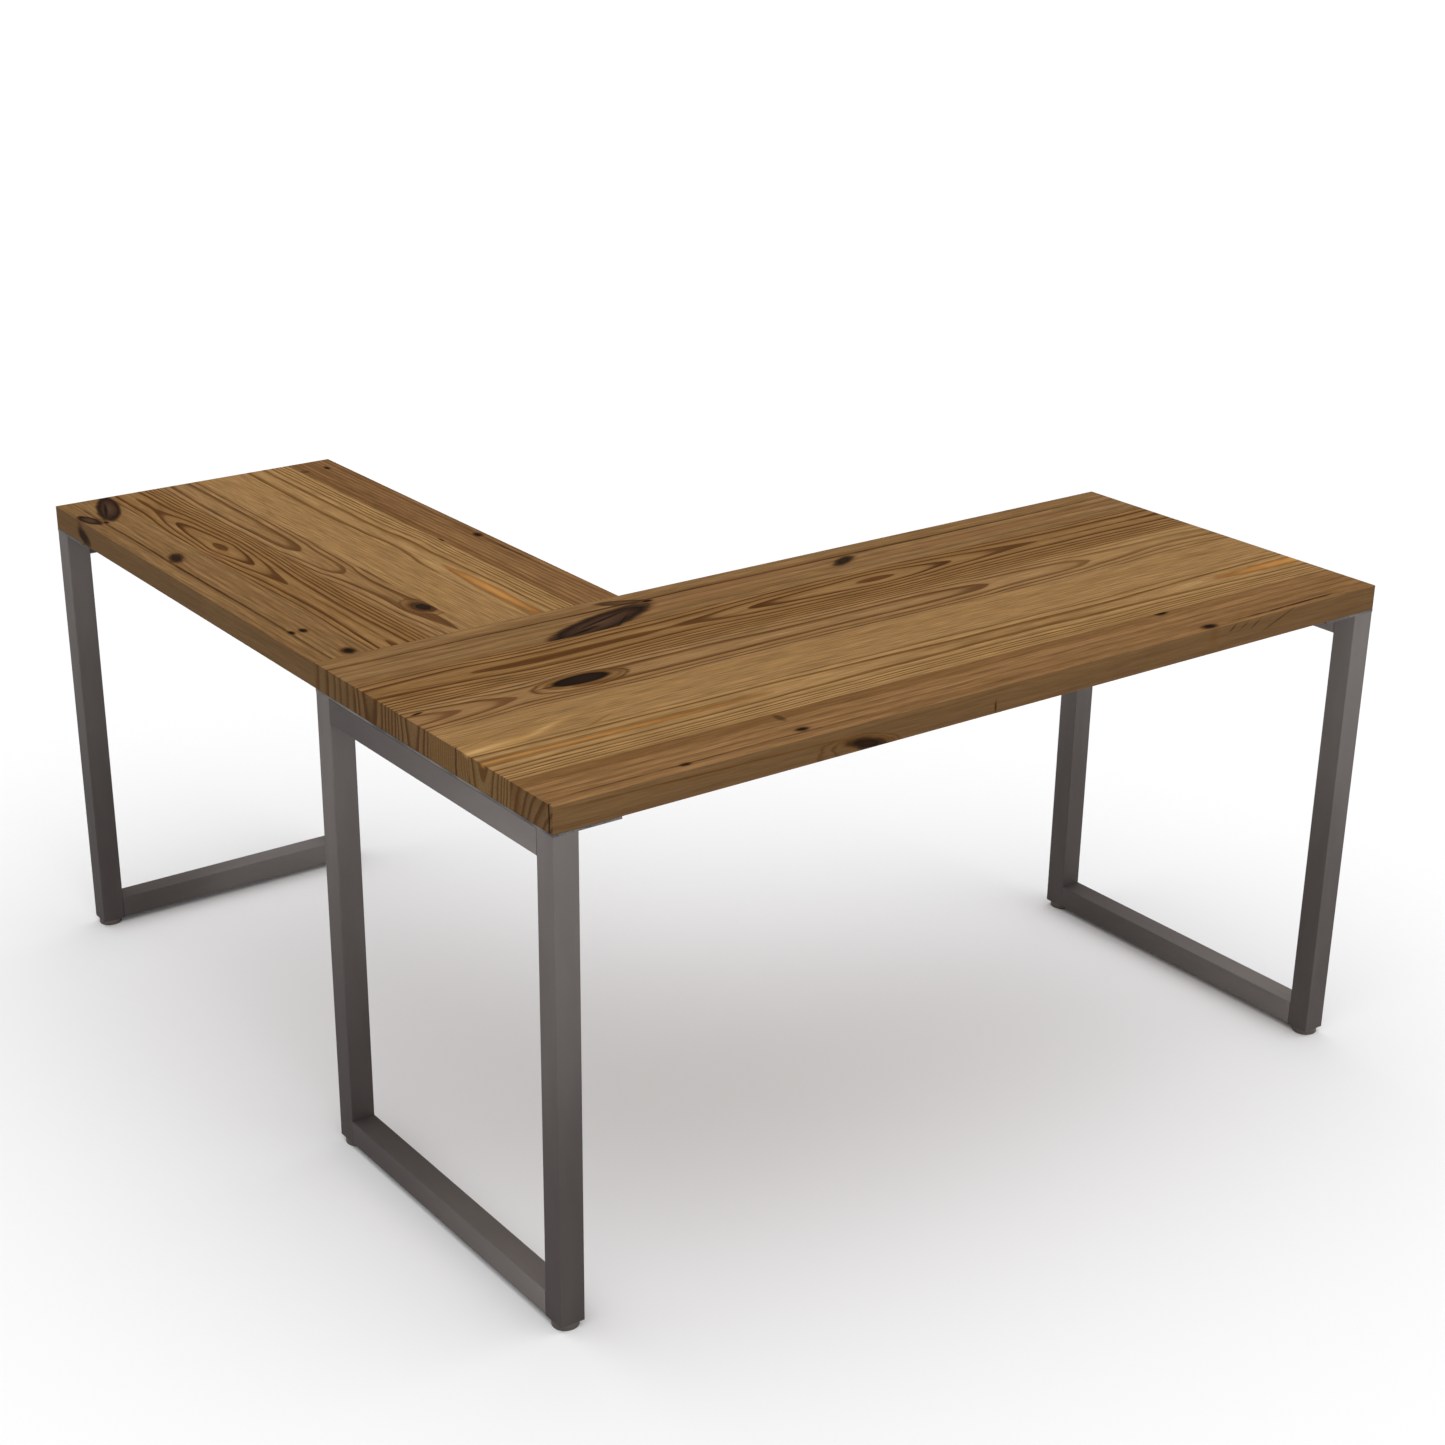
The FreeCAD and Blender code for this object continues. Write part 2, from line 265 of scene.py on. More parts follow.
def oiledBoard(name, top, board, joints):
    # sanded pine under hard wax oil: satin, warm, with dark raised late wood
    material, tree = newMaterial(name)
    look = oiledPine
    coords = addNode(tree, "TexCoord")
    placed = addNode(tree, "Mapping", {0: coords.outputs["Object"], "Location": top["origin"],
                                       "Rotation": (0, 0, top["turn"]), "Scale": top["scale"]})

    # the grain drifts slowly on its way along the board
    long, wide = look["wanderLength"], look["wanderWidth"]
    stretched = addNode(tree, "Mapping", {0: placed, "Location": (board["seed"], 0, 0),
                                          "Scale": (1 / long, 1 / wide, 1 / wide)})
    drift = addNode(tree, "TexNoise", {"Vector": stretched, "Scale": 1.0, "Detail": 2.0})
    centred = addNode(tree, "VectorMath", {0: drift.outputs["Color"], 1: (0.5, 0.5, 0.5)},
                      operation="SUBTRACT")
    sideways = (0, look["wander"], look["wander"])
    shift = addNode(tree, "VectorMath", {0: centred, 1: sideways}, operation="MULTIPLY")
    wandered = addNode(tree, "VectorMath", {0: placed, 1: shift}, operation="ADD")

    # knots push the rings apart, as a stone parts a stream
    marks = []
    push = None
    for mark in board["marks"]:
        halfLong, halfWide = mark["half"]
        center = (mark["at"][0], mark["at"][1], mark.get("depth", 0))
        size = (halfLong, halfWide, mark.get("halfDepth", look["rightThrough"]))
        local = addNode(tree, "Mapping", {0: wandered, "Location": center, "Scale": size,
                                          "Rotation": (0, math.radians(mark.get("lean", 0)),
                                                       math.radians(mark.get("tilt", 0)))},
                        vector_type="TEXTURE")
        marks.append((mark, local))
        if not mark.get("push"):
            continue
        squared = addNode(tree, "VectorMath", {0: local, 1: local}, operation="DOT_PRODUCT")
        outside = addNode(tree, "Math", {0: squared.outputs["Value"], 1: 1.0}, operation="MAXIMUM")
        side = addNode(tree, "SeparateXYZ", {0: local})
        share = addNode(tree, "Math", {0: side.outputs["Y"], 1: outside}, operation="DIVIDE")
        push = addNode(tree, "Math", {0: share, 1: halfWide * mark["push"], 2: push or 0.0},
                       operation="MULTIPLY_ADD")

    # distance from the pith, which runs at a changing depth under the board
    axes = addNode(tree, "SeparateXYZ", {0: wandered})
    along = addNode(tree, "Math", {0: axes.outputs["X"], 1: top["length"]}, operation="DIVIDE")
    depth = addNode(tree, "FloatCurve", {"Value": along})
    setCurve(depth, [(u / top["length"], d / curveReach) for u, d in board["pithDepth"]])
    sway = addNode(tree, "FloatCurve", {"Value": along})
    swayPoints = board.get("sway", [(0, 0), (top["length"], 0)])
    setCurve(sway, [(u / top["length"], 0.5 + s / curveReach) for u, s in swayPoints])
    swayed = addNode(tree, "Math", {0: sway, 1: -curveReach, 2: curveReach / 2 - board["pithAt"]},
                     operation="MULTIPLY_ADD")
    fromPith = addNode(tree, "Math", {0: axes.outputs["Y"], 1: swayed}, operation="ADD")
    pushed = addNode(tree, "Math", {0: fromPith, 1: push or 0.0}, operation="SUBTRACT")
    pithDepth = addNode(tree, "Math", {0: depth, 1: curveReach}, operation="MULTIPLY")
    slope = board.get("coneSlope", look["coneSlope"])
    below = addNode(tree, "Math", {0: axes.outputs["Z"], 1: slope, 2: pithDepth}, operation="MULTIPLY_ADD")
    arm = addNode(tree, "CombineXYZ", {0: pushed, 1: below})
    radius = addNode(tree, "VectorMath", {0: arm}, operation="LENGTH")
    phase = board.get("phase", 0.0)
    years = addNode(tree, "Math", {0: radius.outputs["Value"], 1: 1 / board["ring"], 2: phase},
                    operation="MULTIPLY_ADD")
    seasons = addNode(tree, "TexNoise", {"W": years, "Scale": look["seasonScale"], "Detail": 0.0},
                      noise_dimensions="1D")
    uneven = addNode(tree, "Math", {0: seasons, 1: look["ringUneven"], 2: years}, operation="MULTIPLY_ADD")
    ringPart = addNode(tree, "Math", {0: uneven}, operation="FRACT")
    ringNumber = addNode(tree, "Math", {0: uneven}, operation="FLOOR")
    profile = addNode(tree, "FloatCurve", {"Value": ringPart})
    setCurve(profile, ringProfile)
    chance = addNode(tree, "TexWhiteNoise", {"W": ringNumber}, noise_dimensions="1D")
    boldness = addNode(tree, "MapRange", {0: chance, 3: board.get("faintest", look["faintest"]), 4: 1.0})
    lateWood = addNode(tree, "Math", {0: profile, 1: boldness}, operation="MULTIPLY")
    lateShare = addNode(tree, "Math", {0: lateWood, 1: board["lines"]}, operation="MULTIPLY",
                        use_clamp=True)

    # colours: early and late wood, broad bands of a second tone, fibres and resin ticks
    early, late, band = [linearColor(tone) for tone in board["tones"]]
    bandPlace = (board["seed"] * 1.7, 3, 0)    # any place that differs from board to board
    broad = addNode(tree, "Mapping", {0: wandered, "Location": bandPlace,
                                      "Scale": [1 / size for size in look["bandSize"]]})
    broadNoise = addNode(tree, "TexNoise", {"Vector": broad, "Scale": 1.0, "Detail": 3.0})
    bandShare = addNode(tree, "MapRange", {0: broadNoise, 1: look["bandFrom"], 2: look["bandWhole"],
                                           3: 0.0, 4: board["banding"]})
    ground = addNode(tree, "MixRGB", {0: bandShare, 1: early, 2: band})
    ringed = addNode(tree, "MixRGB", {0: lateShare, 1: ground, 2: late})
    fibreScale = (1 / look["fibreLength"], 1 / look["fibreWidth"], 1 / look["fibreWidth"])
    fibres = addNode(tree, "Mapping", {0: wandered, "Scale": fibreScale})
    fibreNoise = addNode(tree, "TexNoise", {"Vector": fibres, "Scale": 1.0, "Detail": 4.0,
                                            "Roughness": 0.65})
    contrast = look["fibreContrast"]
    fibreTone = addNode(tree, "MapRange", {0: fibreNoise, **noiseSpan, 3: 1 - contrast, 4: 1 + contrast})
    fibred = addNode(tree, "MixRGB", {0: 1.0, 1: ringed, 2: fibreTone}, blend_type="MULTIPLY")
    tickScale = (1 / look["tickLength"], 1 / look["tickWidth"], 1 / look["tickWidth"])
    ticks = addNode(tree, "Mapping", {0: wandered, "Scale": tickScale})
    tickNoise = addNode(tree, "TexNoise", {"Vector": ticks, "Scale": 1.0, "Detail": 1.0})
    tickShare = addNode(tree, "MapRange", {0: tickNoise, 1: look["tickFrom"], 2: look["tickWhole"],
                                           3: 0.0, 4: board["ticks"]})
    color = addNode(tree, "MixRGB", {0: tickShare, 1: fibred, 2: late})

    # a hairline of glue at each joint, and cut edges in a duller tone under painted shade
    straight = addNode(tree, "SeparateXYZ", {0: placed})
    for joint in joints:
        toJoint = addNode(tree, "Math", {0: straight.outputs["Y"], 1: joint, 2: look["glueLine"]},
                          operation="COMPARE")
        shaded = addNode(tree, "Math", {0: toJoint, 1: look["glueShade"]}, operation="MULTIPLY")
        color = addNode(tree, "MixRGB", {0: shaded, 1: color, 2: linearColor(look["glueTone"])})
    # painted shade: surfaces that face sideways or along the board are darkened by how they face, end grain
    # the most
    outward = addNode(tree, "SeparateXYZ", {0: coords.outputs["Normal"]})
    level = addNode(tree, "Math", {0: outward.outputs["Z"]}, operation="ABSOLUTE")
    endwise = addNode(tree, "Math", {0: outward.outputs[top["lengthAxis"]]}, operation="ABSOLUTE")
    paintedCutShade = addNode(tree, "MapRange", {0: endwise, 1: look["endFrom"], 2: look["endWhole"],
                                         3: look["edgeShade"], 4: look["endShade"]})
    levelSpan = {1: look["levelFrom"], 2: look["levelWhole"]}
    edgeTone = addNode(tree, "MapRange", {0: level, **levelSpan, 3: paintedCutShade, 4: 1.0})
    dulled = addNode(tree, "MapRange", {0: level, **levelSpan, 3: look["edgeShare"], 4: 0.0})
    color = addNode(tree, "MixRGB", {0: dulled, 1: color, 2: linearColor(look["edgeTone"])})
    striped = addNode(tree, "Math", {0: profile, 1: endwise}, operation="MULTIPLY")
    stripes = addNode(tree, "Math", {0: striped, 1: look["endLines"]}, operation="MULTIPLY")
    color = addNode(tree, "MixRGB", {0: stripes, 1: color, 2: late})
    # painted shade multiplied into every surface that is not level
    color = addNode(tree, "MixRGB", {0: 1.0, 1: color, 2: edgeTone}, blend_type="MULTIPLY")

    # knots, veins, flames and curls
    rim = addNode(tree, "Mapping", {0: wandered, "Scale": [1 / size for size in look["rimSize"]]})
    rimNoise = addNode(tree, "TexNoise", {"Vector": rim, "Scale": 1.0, "Detail": 3.0})
    for mark, local in marks:
        distance = addNode(tree, "VectorMath", {0: local}, operation="LENGTH")
        ragged = mark.get("ragged", look["ragged"])
        frayed = addNode(tree, "Math", {0: rimNoise, 1: ragged, 2: distance.outputs["Value"]},
                         operation="MULTIPLY_ADD")
        reach = addNode(tree, "Math", {0: frayed, 1: ragged / 2}, operation="SUBTRACT")
        shrunk = addNode(tree, "Math", {0: reach, 1: 0.5}, operation="MULTIPLY")
        cover = addNode(tree, "ValToRGB", {0: shrunk})
        stops = markLooks[mark["look"]]
        setRamp(cover, [(place / 2, linearColor(tone)[:3] + [share]) for place, tone, share in stops])
        strength = addNode(tree, "Math", {0: cover.outputs["Alpha"], 1: mark.get("strength", 1.0)},
                           operation="MULTIPLY")
        color = addNode(tree, "MixRGB", {0: strength, 1: color, 2: cover.outputs["Color"]})

    relief = addNode(tree, "Math", {0: fibreNoise, 1: look["fibreRise"], 2: lateWood},
                     operation="MULTIPLY_ADD")
    bump = addNode(tree, "Bump", {"Height": relief, "Distance": look["grainRise"],
                                  "Strength": look["reliefShare"]})
    gloss = addNode(tree, "MapRange", {0: lateWood, 3: look["roughness"] + look["earlyRougher"],
                                       4: look["roughness"] - look["lateSmoother"]})
    shader = addNode(tree, "BsdfPrincipled", {"Base Color": color, "Roughness": gloss, "IOR": look["ior"],
                                              "Specular IOR Level": look["specular"], "Normal": bump})
    addNode(tree, "OutputMaterial", {0: shader})
    return material


# a board: seed moves its noise, ring is a year's growth in mm, lines, banding and ticks are strengths,
# and tones are early wood, late wood and band. pithAt is the v of the pith. pithDepth and sway are
# (u, mm) pairs: how far the pith lies below the face, and how far it drifts sideways.
# a mark: at (u, v), half its length and width, depth and halfDepth where it doesn't go right through,
# tilt in the face and lean in the edge in degrees, and push, the share of it that parts the rings.

# the main top, boards from the back edge forwards; u runs from its left end, v from its back edge

mainBoards = {
    "main_board_1": {
        "finish": "sandedPineQuiet", "seed": 11.0, "ring": 17.0, "lines": 0.5, "banding": 0.8,
        "ticks": 0.3, "tones": ("#826441", "#533717", "#6E4F2E"), "pithAt": -40,
        "pithDepth": [(0, 52), (500, 60), (1000, 56), (1473, 62)],
        "marks": [
            {"look": "darkVein", "at": (740, 37), "half": (1300, 4.2), "ragged": 0.5},
            {"look": "blush", "at": (640, 60), "half": (260, 26), "tilt": -6},
            {"look": "blush", "at": (1120, 66), "half": (300, 14)},
            {"look": "barkKnot", "at": (419, 87), "half": (108, 28), "tilt": -17, "push": 0.4,
             "ragged": 0.3},
            {"look": "barkStreak", "at": (424, 79), "half": (80, 4), "tilt": -19, "ragged": 0.8},
            {"look": "barkStreak", "at": (380, 103), "half": (50, 5), "tilt": -14, "ragged": 0.8},
            {"look": "barkStreak", "at": (452, 96), "half": (40, 3), "tilt": -40, "ragged": 0.8},
            {"look": "barkKnot", "at": (495, 30), "half": (43, 10), "tilt": 20, "ragged": 0.4,
             "strength": 0.8},
            {"look": "pinKnot", "at": (529, 44), "half": (9, 5)},
            {"look": "ovalKnot", "at": (890, 58), "half": (30, 11), "tilt": -24, "push": 0.7,
             "ragged": 0.5},
        ],
    },
    "main_board_2": {
        "finish": "sandedPineBold", "seed": 23.0, "ring": 7.0, "lines": 1.0, "faintest": 0.75,
        "banding": 0.5, "tones": ("#83623C", "#48290C", "#704F28"), "ticks": 0.3, "phase": 1.433,
        "pithAt": 157,
        "pithDepth": [(0, 46.6), (100, 44.6), (178, 42.8), (420, 42.6), (508, 42.8), (652, 36.1),
                      (830, 30.2), (872, 28.8), (914, 30.2), (1007, 36.1), (1185, 42.8), (1473, 42.7)],
        "sway": [(0, 0), (120, 0), (260, 9), (420, 4), (640, 0), (1473, 0)],
        "marks": [
            {"look": "softVein", "at": (340, 157), "half": (170, 3.2), "ragged": 0.6},
            {"look": "softVein", "at": (88, 170), "half": (115, 2.8), "tilt": 7, "ragged": 0.5,
             "strength": 0.9},
            {"look": "softVein", "at": (270, 187), "half": (130, 3.4), "tilt": 1, "ragged": 0.5,
             "strength": 0.9},
            {"look": "softVein", "at": (92, 190), "half": (120, 3.0), "tilt": 9, "ragged": 0.5,
             "strength": 0.9},
            {"look": "softVein", "at": (370, 199), "half": (190, 3.0), "tilt": -4, "ragged": 0.5,
             "strength": 0.8},
            {"look": "softVein", "at": (120, 212), "half": (150, 2.4), "tilt": 3, "ragged": 0.5,
             "strength": 0.8},
            {"look": "darkVein", "at": (1350, 158), "half": (250, 4.6), "ragged": 0.6, "strength": 0.75},
            {"look": "softVein", "at": (868, 156), "half": (38, 5), "ragged": 0.5, "strength": 0.8},
        ],
    },
    "main_board_3": {
        "finish": "sandedPineFlame", "seed": 37.0, "ring": 6.0, "lines": 1.0, "faintest": 0.55,
        "banding": 0.55, "tones": ("#8B6B46", "#4E2F12", "#785730"), "ticks": 0.25, "phase": 0.67,
        "pithAt": 272,
        "pithDepth": [(0, 37), (50, 40), (95, 43), (175, 49), (240, 48.5), (330, 44.8), (700, 44.5),
                      (900, 45), (965, 46.6), (1007, 48.9), (1100, 50.4), (1170, 52.4), (1211, 54.9),
                      (1473, 58)],
        "sway": [(0, 0), (900, 0), (1230, 0), (1360, -5), (1473, 2)],
        "marks": [
            {"look": "paleCurl", "at": (1400, 250), "half": (380, 90), "halfDepth": 8, "strength": 0.26},
            {"look": "blush", "at": (90, 276), "half": (190, 20), "halfDepth": 8, "strength": 0.7},
            {"look": "haloLine", "at": (264, 269), "half": (84, 30), "ragged": 0.16},
            {"look": "haloLine", "at": (270, 267), "half": (66, 24), "ragged": 0.16, "strength": 0.8},
            {"look": "blackKnot", "at": (267, 264), "half": (45, 16), "push": 1.0, "ragged": 0.12},
            {"look": "barkStreak", "at": (216, 267), "half": (24, 3.5), "tilt": 5, "ragged": 0.6,
             "strength": 0.8},
            {"look": "pinKnot", "at": (19, 251), "half": (10, 2.5), "tilt": -12},
        ],
    },
    "main_board_4": {
        "finish": "sandedPinePale", "seed": 51.0, "ring": 4.5, "lines": 0.5, "faintest": 0.3,
        "banding": 0.5, "tones": ("#906F47", "#6C4B23", "#7F5E37"), "ticks": 0.2, "pithAt": 470,
        "pithDepth": [(0, 62), (300, 66), (1000, 64), (1473, 66)],
        "marks": [
            {"look": "barkStreak", "at": (0, 383), "half": (5, 2.2), "ragged": 0.6, "strength": 0.8},
            {"look": "paleCurl", "at": (20, 409), "half": (130, 15), "halfDepth": 6, "tilt": -7,
             "ragged": 0.3, "strength": 0.8},
            {"look": "paleCurl", "at": (130, 390), "half": (110, 10), "halfDepth": 6, "tilt": -20,
             "ragged": 0.4, "strength": 0.5},
            {"look": "brownCurl", "at": (120, 425), "half": (70, 6), "tilt": -4, "ragged": 0.8},
            {"look": "brownCurl", "at": (195, 408), "half": (60, 4), "tilt": -24, "ragged": 0.8,
             "strength": 0.8},
            {"look": "brownCurl", "at": (80, 372), "half": (140, 4), "tilt": -14, "strength": 0.5,
             "ragged": 0.8},
        ],
    },
    "main_board_5": {
        "finish": "sandedPineGold", "seed": 67.0, "ring": 4.8, "lines": 1.0, "faintest": 0.5,
        "banding": 0.6, "tones": ("#96754C", "#5E3D15", "#85653D"), "ticks": 0.2, "phase": 0.42,
        "pithAt": 449,
        "pithDepth": [(0, 56.9), (250, 57.4), (500, 58.7), (700, 60.6), (1100, 60.8), (1270, 58.7),
                      (1473, 56.6)],
        "sway": [(0, 0), (900, 0), (1040, 3), (1200, 0), (1473, 0)],
        "marks": [
            {"look": "flame", "at": (80, 449), "half": (420, 8), "halfDepth": 5, "tilt": 0.6,
             "strength": 0.7, "ragged": 0.7},
            {"look": "flame", "at": (1480, 449), "half": (215, 15), "halfDepth": 8, "tilt": 1.0,
             "ragged": 0.6},
            {"look": "brownCurl", "at": (25, 440), "half": (66, 6), "halfDepth": 8, "tilt": -3,
             "ragged": 0.7},
        ],
    },
    "main_board_6": {
        "finish": "sandedPineBrown", "seed": 83.0, "ring": 14.0, "coneSlope": -0.8, "lines": 0.42,
        "banding": 0.6, "ticks": 0.4, "tones": ("#83613D", "#4A2D16", "#6A4B2B"), "pithAt": 640,
        "pithDepth": [(0, 60), (600, 63), (1473, 58)],
        "marks": [
            {"look": "softVein", "at": (420, 529), "half": (1300, 12), "ragged": 0.8, "strength": 0.6},
            {"look": "pinKnot", "at": (402, 533), "half": (6, 12), "strength": 0.55},
            {"look": "pinKnot", "at": (402, 582), "half": (11, 6)},
            {"look": "pinKnot", "at": (209, 592), "half": (9, 5)},
            {"look": "pinKnot", "at": (1113, 518), "half": (13, 7), "push": 0.6},
            {"look": "pinKnot", "at": (1130, 599), "half": (15, 8), "push": 0.6},
            {"look": "darkVein", "at": (1310, 600), "half": (180, 4), "ragged": 1.4},
            {"look": "darkVein", "at": (260, 591), "half": (320, 3), "ragged": 1.4, "strength": 0.6},
            {"look": "haloLine", "at": (478, 610), "half": (78, 14), "depth": 36, "halfDepth": 22,
             "lean": -6, "ragged": 0.4, "strength": 0.6},
            {"look": "haloLine", "at": (482, 610), "half": (58, 14), "depth": 34, "halfDepth": 16,
             "lean": -8, "ragged": 0.5, "strength": 0.7},
            {"look": "ovalKnot", "at": (490, 610), "half": (40, 14), "depth": 31, "halfDepth": 9,
             "lean": -14, "push": 0.5, "ragged": 0.8},
            {"look": "darkVein", "at": (712, 610), "half": (3.5, 6), "depth": 26, "halfDepth": 12,
             "ragged": 0.8},
            {"look": "softVein", "at": (240, 610), "half": (330, 8), "depth": 11, "halfDepth": 2,
             "lean": -1.2, "ragged": 0.6},
            {"look": "softVein", "at": (640, 610), "half": (300, 8), "depth": 7, "halfDepth": 1.6,
             "lean": 0.8, "ragged": 0.6, "strength": 0.6},
            {"look": "darkVein", "at": (1168, 610), "half": (15, 8), "depth": 8, "halfDepth": 2,
             "lean": 36, "ragged": 0.9, "strength": 0.8},
            {"look": "darkVein", "at": (1191, 610), "half": (17, 8), "depth": 9, "halfDepth": 2,
             "lean": 34, "ragged": 0.9, "strength": 0.8},
            {"look": "darkVein", "at": (1217, 610), "half": (19, 8), "depth": 10, "halfDepth": 2,
             "lean": 31, "ragged": 0.9, "strength": 0.7},
            {"look": "darkVein", "at": (1264, 610), "half": (50, 8), "depth": 13, "halfDepth": 2.2,
             "lean": 20, "ragged": 0.9, "strength": 0.65},
            {"look": "barkStreak", "at": (0, 601), "half": (5, 2.2), "ragged": 0.6},
        ],
    },
}

# the return, boards from its left edge; u runs from its far end towards the main top, v from its left edge

returnBoards = {
    "return_board_1": {
        "finish": "sandedPineQuietReturn", "seed": 13.0, "ring": 10.0, "lines": 0.45, "banding": 0.75,
        "ticks": 0.3, "tones": ("#80623F", "#4F3316", "#6C4D2C"), "pithAt": -40,
        "pithDepth": [(0, 56), (500, 60), (914, 54)],
        "marks": [
            {"look": "darkVein", "at": (460, 28), "half": (800, 3.8), "ragged": 0.5},
            {"look": "barkKnot", "at": (64, 66), "half": (72, 19), "tilt": -20, "push": 0.5,
             "ragged": 0.3},
            {"look": "barkStreak", "at": (70, 58), "half": (54, 4), "tilt": -20, "ragged": 0.7},
            {"look": "barkKnot", "at": (108, 14), "half": (31, 11), "tilt": 10, "ragged": 0.4},
            {"look": "pinKnot", "at": (134, 32), "half": (7, 4)},
            {"look": "ovalKnot", "at": (372, 44), "half": (26, 12), "tilt": -22, "push": 0.7,
             "ragged": 0.5},
            {"look": "pinKnot", "at": (786, 30), "half": (9, 5)},
            {"look": "pinKnot", "at": (786, 48), "half": (9, 6)},
            {"look": "pinKnot", "at": (898, 63), "half": (14, 11)},
            {"look": "ovalKnot", "at": (112, 0), "half": (27, 12), "depth": 23, "halfDepth": 13,
             "lean": -20, "ragged": 0.7},
        ],
    },
    "return_board_2": {
        "finish": "sandedPineBoldReturn", "seed": 29.0, "ring": 6.0, "lines": 1.0, "faintest": 0.75,
        "banding": 0.5, "tones": ("#83623C", "#48290C", "#704F28"), "ticks": 0.3, "phase": 0.83,
        "pithAt": 127,
        "pithDepth": [(0, 41), (70, 40.4), (127, 40), (212, 34.6), (330, 29.5), (360, 28), (385, 29.5),
                      (461, 34.6), (567, 40.2), (914, 40.2)],
        "marks": [
            {"look": "softVein", "at": (365, 124), "half": (30, 6), "ragged": 0.5},
            {"look": "blush", "at": (390, 101), "half": (34, 14), "strength": 1.2},
            {"look": "softVein", "at": (760, 130), "half": (200, 4), "ragged": 0.6},
        ],
    },
    "return_board_3": {
        "finish": "sandedPineFlameReturn", "seed": 41.0, "ring": 6.0, "lines": 1.0, "faintest": 0.55,
        "banding": 0.55, "tones": ("#8B6B46", "#4E2F12", "#785730"), "ticks": 0.25, "phase": 0.67,
        "pithAt": 222,
        "pithDepth": [(0, 44.6), (340, 44.8), (420, 46.4), (457, 48.9), (520, 50.6), (565, 52.4),
                      (592, 54.9), (760, 58), (914, 60)],
        "sway": [(0, 0), (592, 0), (760, 10), (914, 14)],
        "marks": [
            {"look": "haloLine", "at": (792, 242), "half": (48, 27), "tilt": 8, "ragged": 0.3,
             "strength": 0.7},
            {"look": "ovalKnot", "at": (794, 243), "half": (27, 16), "tilt": 8, "push": 1.0,
             "ragged": 0.3},
            {"look": "blackKnot", "at": (794, 244), "half": (14, 10), "tilt": 8, "ragged": 0.9,
             "strength": 0.5},
        ],
    },
    "return_board_4": {
        "finish": "sandedPinePaleReturn", "seed": 57.0, "ring": 4.5, "lines": 0.5, "faintest": 0.3,
        "banding": 0.5, "tones": ("#906F47", "#6C4B23", "#7F5E37"), "ticks": 0.2, "pithAt": 400,
        "pithDepth": [(0, 62), (500, 66), (914, 62)],
        "marks": [],
    },
    "return_board_5": {
        "finish": "sandedPineGoldReturn", "seed": 71.0, "ring": 4.8, "lines": 1.0, "faintest": 0.5,
        "banding": 0.6, "tones": ("#96754C", "#5E3D15", "#85653D"), "ticks": 0.2, "phase": 0.42,
        "pithAt": 366,
        "pithDepth": [(0, 60.6), (420, 60.4), (560, 60.2), (627, 58.7), (780, 57.2), (914, 56.8)],
        "sway": [(0, 0), (420, 0), (500, 5), (600, 0), (914, 0)],
        "marks": [
            {"look": "flame", "at": (790, 368), "half": (165, 12), "tilt": 0},
        ],
    },
    "return_board_6": {
        "finish": "sandedPineBrownReturn", "seed": 89.0, "ring": 8.5, "lines": 0.7, "banding": 0.8,
        "ticks": 0.4, "tones": ("#805E3B", "#4A2D16", "#68492A"), "pithAt": 560,
        "pithDepth": [(0, 30), (914, 34)],
        "marks": [
            {"look": "softVein", "at": (420, 440), "half": (800, 9), "ragged": 0.8, "strength": 0.6},
            {"look": "pinKnot", "at": (525, 427), "half": (10, 5)},
            {"look": "pinKnot", "at": (534, 494), "half": (12, 7)},
            {"look": "pinKnot", "at": (51, 478), "half": (10, 4)},
            {"look": "pinKnot", "at": (51, 436), "half": (9, 9), "strength": 0.5},
            {"look": "darkVein", "at": (630, 497), "half": (110, 3.2), "ragged": 1.2},
        ],
    },
}


def finishBoards(boards, top, direction):
    # direction is the axis and sign across the top, so that each board knows where its glue lines are
    axis, sign, edge = direction
    for nodeName, board in boards.items():
        low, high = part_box(nodeName)
        across = [sign * (corner[axis] * 1000 - edge) for corner in (low, high)]
        joints = [place for place in across if 1 < place < top["width"] - 1]    # outer edges have no glue
        dress(nodeName, oiledBoard(board["finish"], top, board, joints))


mainLow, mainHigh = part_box("main_board_6")[0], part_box("main_board_1")[1]
returnLow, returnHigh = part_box("return_board_1")[0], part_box("return_board_6")[1]
mainTop = {
    "origin": (-1000 * mainLow.x, 1000 * mainHigh.y, 1000 * mainHigh.z),
    "turn": 0.0,
    "lengthAxis": "X",
    "scale": (1000, -1000, -1000),
    "length": 1000 * (mainHigh.x - mainLow.x),
    "width": 1000 * (mainHigh.y - mainLow.y),
}
returnTop = {
    "origin": (1000 * returnHigh.y, -1000 * returnLow.x, 1000 * returnHigh.z),
    "turn": math.pi / 2,
    "lengthAxis": "Y",
    "scale": (1000, 1000, -1000),
    "length": 1000 * (returnHigh.y - returnLow.y),
    "width": 1000 * (returnHigh.x - returnLow.x),
}
finishBoards(mainBoards, mainTop, (1, -1, 1000 * mainHigh.y))
finishBoards(returnBoards, returnTop, (0, 1, 1000 * returnLow.x))
print("boards oiled")

# raw mill steel under clear coat: dark, matt, with the fine lines of the brush along each tube. Each
# length of tube also carries painted shade, slowly darker from one end to the other: the uprights towards
# the floor, the side rails towards the back under the top, the end rails towards their outer end.

millSteel = {
    # dark and light are the colours at the painted shaded end and the lit end of each tube
    "dark": "#5F5957",
    "light": "#827C79",
    "roughness": 0.72,
    "roughnessSpread": 0.05,
    "brushWidth": 1.4,         # mm, coarser than a real brush line, which is too fine to show
    "brushLength": 260.0,      # mm
    "brushContrast": 0.07,
    "cloudLength": 180.0,      # mm
    "cloudWidth": 45.0,        # mm
    "cloudContrast": 0.08,
    "brushDepth": 0.00002,     # m
}
